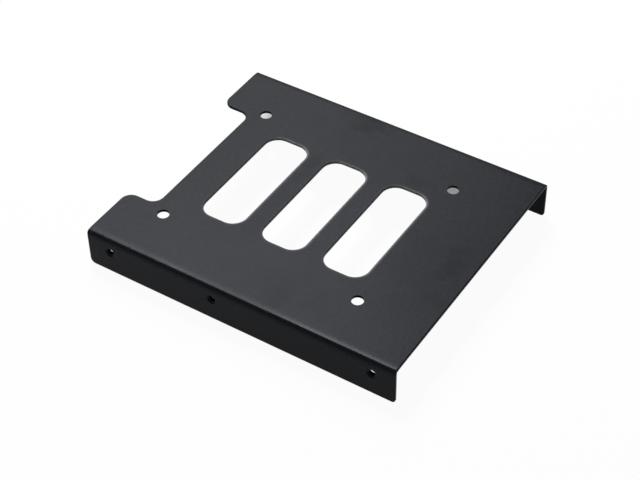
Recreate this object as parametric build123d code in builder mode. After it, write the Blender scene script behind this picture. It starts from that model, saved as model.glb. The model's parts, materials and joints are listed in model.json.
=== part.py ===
"""Drive bay adapter bracket: one folded steel sheet that carries a 2.5 inch drive in a 3.5 inch bay.

Millimetres. X runs along the sheet, with the notched end at -X. Y runs across it, with a flange on each side.
Z is up, and the flanges' lower edges stand on Z = 0. The origin is under the middle of the plate.
"""
import os
from math import cos, isclose, radians, sin

from build123d import *

# Sheet and folds. A fold is a tight bend that runs out into the plate and the flange through two wide arcs
width = 101.6
height = 14.5
sheet = 1.0
bend_radius = 0.2
plate_run_radius = 12.0
plate_run_turn = 11.0
flange_run_radius = 10.0
flange_run_turn = 8.0
edge_round = 0.35
edge_break = 0.08

# Lower corners of the flanges
notch_end_corner = 2.0
plain_end_corner = 1.2

# Connector notch in the -X end
notch_width = 56.0
notch_depth = 11.9
notch_corner = 4.0

# Slots across the plate
slot_count = 3
slot_width = 16.4
slot_length = 46.1
slot_corner = 5.3
slot_round = 0.4
slot_pitch = 24.0
slots_from_notch_end = 57.6

# Plain holes for the four screws of a 2.5 inch drive
drive_hole = 4.2
drive_spacing_x = 76.6
drive_spacing_y = 61.72
drive_from_notch_end = 55.3

# Tapped holes of each flange, at the three side places of a 3.5 inch drive
tapped_below_top = 5.6
tapped_from_notch_end = 9.25
tapped_second = 41.28
tapped_last = 101.6
tapped_to_plain_end = 8.55

# Form of a tapped hole: its metal is drawn inwards into a collar
thread_major = 3.5
mouth_slope = 0.25
collar_wall = 0.5
collar_height = 1.0
collar_root = 0.3
collar_lip = 0.15

# Places and sizes that follow from the ones above
length = tapped_from_notch_end + tapped_last + tapped_to_plain_end
notch_end = -length / 2
outer_radius = bend_radius + sheet
run_in_angle, run_out_angle = radians(plate_run_turn), radians(flange_run_turn)
bend_reach = (
    plate_run_radius * sin(run_in_angle)
    + outer_radius * (cos(run_out_angle) - sin(run_in_angle))
    + flange_run_radius * (1 - cos(run_out_angle))
)
thread_radius = thread_major / 2
collar_radius = thread_radius + collar_wall
tapped_height = height - tapped_below_top
tapped_first = notch_end + tapped_from_notch_end
tapped_places = [(tapped_first + step, 0) for step in (0, tapped_second, tapped_last)]


def flange_plane(side, depth):
    """Plane at a depth under a flange's outer face, through its holes' axes and facing out on that side."""
    return Plane(origin=(0, side * (width / 2 - depth), tapped_height), x_dir=(1, 0, 0), z_dir=(0, side, 0))


def sharp_edges(shape, least_turn=45):
    """Edges where the surface turns by more than so many degrees, without its smooth seams."""
    faces_of = {}
    for face in shape.faces():
        for edge in face.edges():
            faces_of.setdefault(edge, []).append(face)
    sharp = ShapeList()
    for edge, faces in faces_of.items():
        middle = edge.position_at(0.5)
        if faces[0].normal_at(middle).get_angle(faces[-1].normal_at(middle)) > least_turn:
            sharp.append(edge)
    return sharp


def outer_edges(shape):
    """Edges round the outer side of the folded sheet, whose faces look away from the origin's line."""
    outer, other = set(), set()
    for face in shape.faces():
        middle, normal = face.position_at(0.5, 0.5), face.normal_at()
        looks_away = abs(normal.X) < 0.01 and normal.Y * middle.Y + normal.Z * middle.Z > sheet
        (outer if looks_away else other).update(face.edges())
    return shape.edges().filter_by(lambda edge: edge in outer and edge in other)


def rings(shape, radius, depth):
    """Round edges of one radius at one depth under the flanges' outer faces."""
    return shape.edges().filter_by(GeomType.CIRCLE).filter_by(
        lambda edge: isclose(edge.radius, radius) and isclose(abs(edge.arc_center.Y), width / 2 - depth)
    )


with BuildPart() as bracket:
    # Folded section: half of its outer line, from the plate's middle, thickened inwards and mirrored
    with BuildSketch(Plane.YZ):
        with BuildLine():
            plate = Line((0, height), (width / 2 - bend_reach, height))
            run_in = JernArc(plate @ 1, plate % 1, plate_run_radius, -plate_run_turn)
            fold = JernArc(run_in @ 1, run_in % 1, outer_radius, plate_run_turn + flange_run_turn - 90)
            run_out = JernArc(fold @ 1, fold % 1, flange_run_radius, -flange_run_turn)
            Line(run_out @ 1, (width / 2, 0))
            offset(amount=sheet, side=Side.RIGHT)
        make_face()
        mirror(about=Plane.YZ)
    extrude(amount=length / 2, both=True)

    # Lower corners of both flanges
    lower_corners = bracket.edges().filter_by(Axis.Y).group_by(Axis.Z)[0].group_by(Axis.X)
    fillet(lower_corners[0], radius=notch_end_corner)
    fillet(lower_corners[-1], radius=plain_end_corner)

    # Connector notch, rounded alike at its two inner and two outer corners
    with BuildSketch(Plane.XY.offset(height)):
        with Locations((notch_end, 0)):
            Rectangle(2 * notch_depth, notch_width)
    extrude(amount=-sheet, mode=Mode.SUBTRACT)
    notch_corners = bracket.edges().filter_by(Axis.Z).group_by(Axis.Z)[-1]
    fillet(notch_corners, radius=notch_corner)

    # The sheet's outline, rounded on its outer side as the cut leaves it
    fillet(outer_edges(bracket), radius=edge_round)

    # Slots through the plate, with their upper edges rolled in by the punch
    with BuildSketch(Plane.XY.offset(height)):
        with Locations((notch_end + slots_from_notch_end, 0)):
            with GridLocations(slot_pitch, 0, slot_count, 1):
                RectangleRounded(slot_width, slot_length, slot_corner)
    extrude(amount=-sheet, mode=Mode.SUBTRACT)
    top_face = bracket.faces().sort_by(Axis.Z)[-1]
    fillet(top_face.inner_wires().edges(), radius=slot_round)

    # Drive holes through the plate
    with BuildSketch(Plane.XY.offset(height)):
        with Locations((notch_end + drive_from_notch_end, 0)):
            with GridLocations(drive_spacing_x, drive_spacing_y, 2, 2):
                Circle(drive_hole / 2)
    extrude(amount=-sheet, mode=Mode.SUBTRACT)

    # The other cut edges of the sheet, broken as deburring and paint leave them
    chamfer(sharp_edges(bracket), length=edge_break)

    # Tapped holes: a collar on each flange's inner face, and a bore at the thread's major diameter
    for side in (-1, 1):
        with BuildSketch(flange_plane(side, sheet)):
            with Locations(tapped_places):
                Circle(collar_radius)
        extrude(amount=-collar_height)
        with BuildSketch(flange_plane(side, 0)):
            with Locations(tapped_places):
                Circle(thread_radius)
        extrude(amount=-sheet - collar_height, mode=Mode.SUBTRACT)

    # The punch draws in a sloped mouth, and leaves a sloped root and lip on the collar
    chamfer(rings(bracket, thread_radius, 0), length=mouth_slope)
    chamfer(rings(bracket, collar_radius, sheet), length=collar_root)
    chamfer(rings(bracket, collar_radius, sheet + collar_height), length=collar_lip)

bracket.part.label = "bracket"
os.makedirs("parts", exist_ok=True)
export_step(bracket.part, "parts/bracket.step")
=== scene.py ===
"""Drive bay adapter bracket in satin black powder coat, on a white floor under soft studio light.

Metres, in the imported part's own frame. X runs along the sheet, with the notched end at -X. Y runs across it,
and Z is up.
"""
import json
from math import cos, pi, radians, sin, tan

import bmesh
import bpy
from mathutils import Matrix, Vector


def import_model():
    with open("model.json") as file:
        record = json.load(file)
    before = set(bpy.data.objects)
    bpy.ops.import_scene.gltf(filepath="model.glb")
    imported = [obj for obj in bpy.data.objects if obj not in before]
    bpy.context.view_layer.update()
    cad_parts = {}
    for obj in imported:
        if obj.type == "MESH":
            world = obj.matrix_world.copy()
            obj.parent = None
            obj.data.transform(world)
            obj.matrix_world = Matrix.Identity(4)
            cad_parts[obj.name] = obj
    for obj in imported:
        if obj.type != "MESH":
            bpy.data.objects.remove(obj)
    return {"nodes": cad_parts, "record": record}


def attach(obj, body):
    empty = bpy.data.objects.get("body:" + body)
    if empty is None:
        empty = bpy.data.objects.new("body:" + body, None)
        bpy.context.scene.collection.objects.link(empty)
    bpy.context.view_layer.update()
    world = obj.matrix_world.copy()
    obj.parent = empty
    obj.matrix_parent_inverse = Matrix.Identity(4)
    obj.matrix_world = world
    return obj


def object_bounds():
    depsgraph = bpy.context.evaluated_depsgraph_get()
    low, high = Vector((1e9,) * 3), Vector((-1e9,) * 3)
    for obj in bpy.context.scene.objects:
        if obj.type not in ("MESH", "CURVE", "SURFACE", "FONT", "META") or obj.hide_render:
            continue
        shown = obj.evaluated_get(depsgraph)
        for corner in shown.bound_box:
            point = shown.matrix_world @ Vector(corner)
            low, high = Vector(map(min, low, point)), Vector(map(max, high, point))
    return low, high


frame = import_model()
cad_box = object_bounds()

MM = 0.001

# Camera, as solved from the photograph's edges and holes
LENS_MM = 92.41
AZIMUTH = radians(33.41)
ELEVATION = radians(43.50)
ROLL = radians(-1.09)
DISTANCE = 561.8 * MM
AIM = Vector((0.41, -1.05, 0)) * MM

# Thread of the side holes, 6-32 UNC. Its depths are from the flange's outer face, and its root is sunk in
# the wall
PITCH = 0.794 * MM
RIDGE_HEIGHT = 0.43 * MM
FLANK_ANGLE = radians(30)
HALF_CREST = 0.1 * MM
HALF_ROOT = HALF_CREST + RIDGE_HEIGHT * tan(FLANK_ANGLE)
THREAD_START = 0.25 * MM
THREAD_END = 2.0 * MM
THREAD_PHASE = radians(106)
ROOT_SINK = 0.04 * MM
LEAST_WIDTH = 0.02 * MM
STEPS_PER_TURN = 40

# Paint
COAT_COLOUR = (0.0068, 0.0078, 0.0098)
COAT_ROUGHNESS = 0.25
COAT_SPECULAR = 0.055
COAT_TINT = (0.845, 0.89, 1.0)
GRAIN_SIZE = 0.35 * MM
GRAIN_DEPTH = 0.006 * MM
PEEL_SIZE = 1.3 * MM
PEEL_DEPTH = 0.024 * MM
MOTTLE = 0.3
SMUDGE_SIZE = 16 * MM
SMUDGE_ROUGHENING = 0.02
MARK_DULLING = 0.11
MARK_SHADE = 0.55
MARK_BREAKUP = 4 * MM
MARK_RAGGEDNESS = 0.6
MARK_FADE = (0.3, 1.3)

# Dull marks and patches of painted shade: place and half widths on the plate, in millimetres, and share of the
# full dulling and darkening. The last four are wide and faint patches of painted shade, which even out the
# plate's brightness
MARKS_AND_PAINTED_SHADE = (
    ((-8, 45), (10, 6), 1.0),
    ((52, -1), (6, 9), 1.0),
    ((54, -17), (6, 6), 0.6),
    ((-1, -43), (5, 5), 0.25),
    ((12.5, -43), (5, 5), 0.4),
    ((23, -41), (8, 4), 0.3),
    ((21, 28), (7, 3), 0.6),
    ((-14, 13), (3, 9), 0.7),
    ((2, 38), (24, 14), 0.3),
    ((46, -5), (15, 20), 0.35),
    ((-13, -6), (5, 20), 0.3),
    ((9, -38), (24, 9), 0.2),
)

# Slots, whose punched rims and walls carry a painted highlight, a little more on the plain end's side
SLOT_PLACE = Vector((-1.85, 0, 14.5)) * MM
SLOT_PITCH = 24.0 * MM
SLOT_SIZE = (16.4 * MM, 46.1 * MM)
SLOT_CORNER = 5.3 * MM
RIM_HIGHLIGHT_REACH = 1.7 * MM
RIM_HIGHLIGHT_FALL = 5.0
RIM_HIGHLIGHT_COLOUR = (0.25, 0.25, 0.255)

# Stage
FLOOR_SIZE = 6.0
FLOOR_COLOUR = 0.9
FLOOR_GLOW = 0.955

# Deep shade painted on the floor inside the flanges: its strength at the front and back, and where it begins,
# is whole, fades and ends
SHADE_STRENGTH = (0.98, 0.7)
SHADE_ALONG = (-63 * MM, -45 * MM, 30 * MM, 54 * MM)
SHADE_ACROSS = (36 * MM, 42 * MM, 50 * MM, 50.8 * MM)

# Softboxes: degrees to the left of straight behind the bracket and up, side in metres, and watts
LAMP_DISTANCE = 0.9
SOFTBOXES = {
    "key": (16.5, 65.5, 0.11, 3.25),
    "side": (27.5, 54, 0.08, 1.15),
    "middle": (9.5, 52, 0.32, 1.8),
    "back": (5.5, 44, 0.54, 3.8),
}

# Sockets of a colour mix node, whose names repeat
MIX_FACTOR, MIX_FIRST, MIX_SECOND, MIX_RESULT = 0, 6, 7, 2


def add_node(tree, kind, inputs, **settings):
    """Shader node with its settings, and with each input, by name or number, set to a value or linked."""
    node = tree.nodes.new("ShaderNode" + kind)
    for name, value in settings.items():
        setattr(node, name, value)
    for name, value in inputs.items():
        if isinstance(value, bpy.types.NodeSocket):
            tree.links.new(value, node.inputs[name])
        else:
            node.inputs[name].default_value = value
    return node


def math(tree, operation, first, second=0.0):
    """Result of a math node."""
    return add_node(tree, "Math", {0: first, 1: second}, operation=operation).outputs["Value"]


def vector_math(tree, operation, first, second=(0, 0, 0)):
    """Result of a vector math node."""
    return add_node(tree, "VectorMath", {0: first, 1: second}, operation=operation).outputs[0]


def noise(tree, place, size, detail):
    """Noise whose lumps are about one size across."""
    return add_node(tree, "TexNoise", {"Vector": place, "Scale": 1 / size, "Detail": detail}).outputs["Fac"]


def spread(tree, value, low, high, start=0.3, end=0.7):
    """Value stretched from low at its start to high at its end, by default over a noise's usual range."""
    return add_node(
        tree, "MapRange", {"Value": value, "From Min": start, "From Max": end, "To Min": low, "To Max": high}
    ).outputs["Result"]


def mixed(tree, factor, first, second):
    """Colour between two others."""
    node = add_node(tree, "Mix", {MIX_FACTOR: factor, MIX_FIRST: first, MIX_SECOND: second}, data_type="RGBA")
    return node.outputs[MIX_RESULT]


def shaded(colour, factor):
    """Opaque colour times a factor."""
    return (*[channel * factor for channel in colour], 1)


def new_material(name):
    """Material with an empty node tree and its output node."""
    material = bpy.data.materials.new(name)
    material.use_nodes = True
    tree = material.node_tree
    tree.nodes.clear()
    return material, tree, tree.nodes.new("ShaderNodeOutputMaterial")


def slot_distance(tree, place):
    """Distance from the nearest slot's rim across the sheet, less half the depth under its top."""
    from_middle = vector_math(tree, "SUBTRACT", place, SLOT_PLACE)
    parts = add_node(tree, "SeparateXYZ", {"Vector": from_middle}).outputs
    nearest = math(tree, "ROUND", math(tree, "DIVIDE", parts["X"], SLOT_PITCH))
    nearest = math(tree, "MAXIMUM", math(tree, "MINIMUM", nearest, 1.0), -1.0)
    along = math(tree, "SUBTRACT", parts["X"], math(tree, "MULTIPLY", nearest, SLOT_PITCH))
    across = add_node(tree, "CombineXYZ", {"X": along, "Y": parts["Y"]}).outputs["Vector"]
    straight = (SLOT_SIZE[0] / 2 - SLOT_CORNER, SLOT_SIZE[1] / 2 - SLOT_CORNER, 0)
    beyond = vector_math(tree, "SUBTRACT", vector_math(tree, "ABSOLUTE", across), straight)
    beyond = vector_math(tree, "MAXIMUM", beyond, (0, 0, 0))
    from_corner = add_node(tree, "VectorMath", {0: beyond}, operation="LENGTH").outputs["Value"]
    across = math(tree, "MAXIMUM", math(tree, "SUBTRACT", from_corner, SLOT_CORNER), 0.0)
    return math(tree, "ADD", across, math(tree, "MULTIPLY", parts["Z"], 0.5))


def marks_and_painted_shade(tree, place):
    """Share of dulling and darkening by the marks and the patches of painted shade, whose borders are broken
    up.
    """
    breakup = spread(tree, noise(tree, place, MARK_BREAKUP, 4), -MARK_RAGGEDNESS, MARK_RAGGEDNESS)
    share = 0.0
    for (x, y), (half_x, half_y), strength in MARKS_AND_PAINTED_SHADE:
        from_middle = vector_math(tree, "SUBTRACT", place, Vector((x, y, 0)) * MM)
        scaled = vector_math(tree, "MULTIPLY", from_middle, (1 / half_x / MM, 1 / half_y / MM, 0))
        reach = add_node(tree, "VectorMath", {0: scaled}, operation="LENGTH").outputs["Value"]
        patch_share = spread(tree, math(tree, "ADD", reach, breakup), strength, 0, *MARK_FADE)
        share = math(tree, "MAXIMUM", patch_share, share)
    return share


def powder_coat():
    """Satin black powder coat with grain, mottled orange peel, smudges, dull marks, patches of painted shade
    and a painted highlight on the slot rims.
    """
    material, tree, output = new_material("satin_powder_coat")
    place = add_node(tree, "TexCoord", {}).outputs["Object"]
    grain = noise(tree, place, GRAIN_SIZE, 2)
    peel = noise(tree, place, PEEL_SIZE, 1)
    smudge = noise(tree, place, SMUDGE_SIZE, 3)

    darker, lighter = shaded(COAT_COLOUR, 1 - MOTTLE), shaded(COAT_COLOUR, 1 + MOTTLE)
    mottled = mixed(tree, spread(tree, peel, 0, 1), darker, lighter)
    marks_and_shade_share = marks_and_painted_shade(tree, place)
    # Darker colour in the dull marks, and painted shade in the wide faint patches
    marked_and_shaded = mixed(tree, marks_and_shade_share, mottled, shaded(COAT_COLOUR, MARK_SHADE))
    # Painted highlight: lighter colour towards each slot's rim and on its walls
    rim_highlight = spread(tree, slot_distance(tree, place), 1, 0, 0, RIM_HIGHLIGHT_REACH)
    rim_highlight = math(tree, "POWER", rim_highlight, RIM_HIGHLIGHT_FALL)
    colour = mixed(tree, rim_highlight, marked_and_shaded, shaded(RIM_HIGHLIGHT_COLOUR, 1))
    smudged = spread(tree, smudge, COAT_ROUGHNESS - SMUDGE_ROUGHENING, COAT_ROUGHNESS + SMUDGE_ROUGHENING)
    roughness = math(tree, "ADD", smudged, math(tree, "MULTIPLY", marks_and_shade_share, MARK_DULLING))

    peeled = add_node(tree, "Bump", {"Height": peel, "Distance": PEEL_DEPTH}).outputs["Normal"]
    fine = {"Height": grain, "Distance": GRAIN_DEPTH, "Normal": peeled}
    bumped = add_node(tree, "Bump", fine).outputs["Normal"]
    shader = add_node(
        tree,
        "BsdfPrincipled",
        {
            "Base Color": colour,
            "Roughness": roughness,
            "Specular IOR Level": COAT_SPECULAR,
            "Specular Tint": shaded(COAT_TINT, 1),
            "Normal": bumped,
        },
    )
    tree.links.new(shader.outputs["BSDF"], output.inputs["Surface"])
    return material


def seen_directly(tree):
    """1 for camera rays, mirror rays and rays through glass, otherwise 0."""
    rays = add_node(tree, "LightPath", {}).outputs
    mirrored = math(tree, "MAXIMUM", rays["Is Camera Ray"], rays["Is Glossy Ray"])
    return math(tree, "MAXIMUM", mirrored, rays["Is Transmission Ray"])


def thread_section(depth):
    """Height above the wall and depth of the ridge's corners about one depth, within the thread's ends."""
    left = HALF_ROOT + min(depth - THREAD_START, THREAD_END - depth)
    height = min(RIDGE_HEIGHT, left / tan(FLANK_ANGLE))
    starts = [
        min(max(depth - half, THREAD_START), THREAD_END - LEAST_WIDTH)
        for half in (HALF_ROOT, HALF_CREST)
    ]
    ends = [
        max(min(depth + half, THREAD_END), THREAD_START + LEAST_WIDTH)
        for half in (HALF_CREST, HALF_ROOT)
    ]
    return list(zip((-ROOT_SINK, height, height, -ROOT_SINK), starts + ends))


def thread(name, mouth, inwards, hole_radius):
    """Helical ridge of an inside thread, from just under the mouth to the collar's lip."""
    first = THREAD_START - HALF_ROOT
    total_turns = (THREAD_END + HALF_ROOT - first) / PITCH
    side = inwards.cross(Vector((1, 0, 0)))
    mesh = bmesh.new()
    rings = []
    for step in range(1, round(total_turns * STEPS_PER_TURN)):
        turns = step / STEPS_PER_TURN
        angle = THREAD_PHASE + 2 * pi * turns
        outwards = Vector((cos(angle), 0, 0)) + side * sin(angle)
        rings.append([
            mesh.verts.new(mouth + outwards * (hole_radius - height) + inwards * depth)
            for height, depth in thread_section(first + PITCH * turns)
        ])
    for ring, following in zip(rings, rings[1:]):
        for corner in range(len(ring)):
            mesh.faces.new((ring[corner - 1], ring[corner], following[corner], following[corner - 1]))
    mesh.faces.new(rings[0])
    mesh.faces.new(rings[-1])
    bmesh.ops.recalc_face_normals(mesh, faces=mesh.faces)
    data = bpy.data.meshes.new(name)
    mesh.to_mesh(data)
    mesh.free()
    ridge = bpy.data.objects.new(name, data)
    bpy.context.scene.collection.objects.link(ridge)
    return ridge


def tapped_holes():
    """Mouth, inward direction and radius of each tapped hole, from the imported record's side mounts."""
    holes = {}
    for mount in frame["record"]["mounts"]:
        outwards = Vector(mount["axis"])
        if mount["kind"] != "bolt_pattern" or outwards.y == 0:
            continue
        for half in (-0.5, 0.5):
            x = mount["pos_m"][0] + half * mount["dims"]["spacing_x_mm"] * MM
            y = outwards.y * cad_box[1][1]
            mouth = Vector((x, y, mount["pos_m"][2]))
            holes[round(x / MM, 2), outwards.y] = (mouth, -outwards, mount["dims"]["hole_r_mm"] * MM)
    return [holes[key] for key in sorted(holes)]


def band(tree, value, begin, whole, fade, end):
    """1 between two values and 0 beyond two others, with ramps between them."""
    rise = spread(tree, value, 0, 1, begin, whole)
    fall = spread(tree, value, 1, 0, fade, end)
    return math(tree, "MINIMUM", rise, fall)


def floor():
    """White floor that keeps the bracket's shadow, with a deep shade painted inside the flanges."""
    material, tree, output = new_material("white_floor")
    lit = add_node(tree, "BsdfDiffuse", {"Color": shaded((1, 1, 1), FLOOR_COLOUR)})
    glow = add_node(tree, "Emission", {"Strength": 1.0})
    position = add_node(tree, "NewGeometry", {}).outputs["Position"]
    place = add_node(tree, "SeparateXYZ", {"Vector": position}).outputs
    along = band(tree, place["X"], *SHADE_ALONG)
    across = band(tree, math(tree, "ABSOLUTE", place["Y"]), *SHADE_ACROSS)
    strength = spread(tree, place["Y"], *SHADE_STRENGTH, -SHADE_ACROSS[1], SHADE_ACROSS[1])
    shade = math(tree, "MULTIPLY", math(tree, "MULTIPLY", along, across), strength)
    shown = math(tree, "MULTIPLY", math(tree, "SUBTRACT", 1.0, shade), FLOOR_GLOW)
    share = math(tree, "MULTIPLY", seen_directly(tree), shown)
    both = add_node(tree, "MixShader", {0: share, 1: lit.outputs["BSDF"], 2: glow.outputs["Emission"]})
    tree.links.new(both.outputs["Shader"], output.inputs["Surface"])
    bpy.ops.mesh.primitive_plane_add(size=FLOOR_SIZE)
    plane = bpy.context.object
    plane.name = "floor"
    plane.data.materials.append(material)


def world():
    """White surroundings as seen, which give no light of their own."""
    surroundings = bpy.data.worlds.new("studio")
    surroundings.use_nodes = True
    tree = surroundings.node_tree
    tree.nodes.clear()
    output = tree.nodes.new("ShaderNodeOutputWorld")
    light = add_node(tree, "Background", {"Color": (1, 1, 1, 1), "Strength": seen_directly(tree)})
    tree.links.new(light.outputs["Background"], output.inputs["Surface"])
    bpy.context.scene.world = surroundings


def softbox(name, left, up, size, watts):
    """Square area lamp that faces the bracket, so many degrees to the left of straight behind it and up."""
    lamp = bpy.data.lights.new(name, "AREA")
    lamp.size = size
    lamp.energy = watts
    obj = bpy.data.objects.new(name, lamp)
    turned = Matrix.Rotation(AZIMUTH + radians(left), 3, "Z") @ Matrix.Rotation(radians(up), 3, "X")
    obj.location = turned @ Vector((0, LAMP_DISTANCE, 0))
    obj.rotation_euler = obj.location.to_track_quat("Z", "Y").to_euler()
    bpy.context.scene.collection.objects.link(obj)


def camera():
    """Camera at the photograph's place, turned about the point that it looks at."""
    lens = bpy.data.cameras.new("camera")
    lens.lens = LENS_MM
    obj = bpy.data.objects.new("camera", lens)
    obj.matrix_world = (
        Matrix.Translation(AIM)
        @ Matrix.Rotation(AZIMUTH, 4, "Z")
        @ Matrix.Rotation(pi / 2 - ELEVATION, 4, "X")
        @ Matrix.Rotation(ROLL, 4, "Z")
        @ Matrix.Translation((0, 0, DISTANCE))
    )
    bpy.context.scene.collection.objects.link(obj)
    bpy.context.scene.camera = obj


coat = powder_coat()
frame["nodes"]["bracket"].data.materials.clear()
frame["nodes"]["bracket"].data.materials.append(coat)

for number, (mouth, inwards, hole_radius) in enumerate(tapped_holes(), 1):
    ridge = thread(f"thread_{number}", mouth, inwards, hole_radius)
    ridge.data.materials.append(coat)
    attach(ridge, "root")

floor()
world()
for name, settings in SOFTBOXES.items():
    softbox(name, *settings)
camera()
bpy.context.scene.view_settings.view_transform = "Standard"
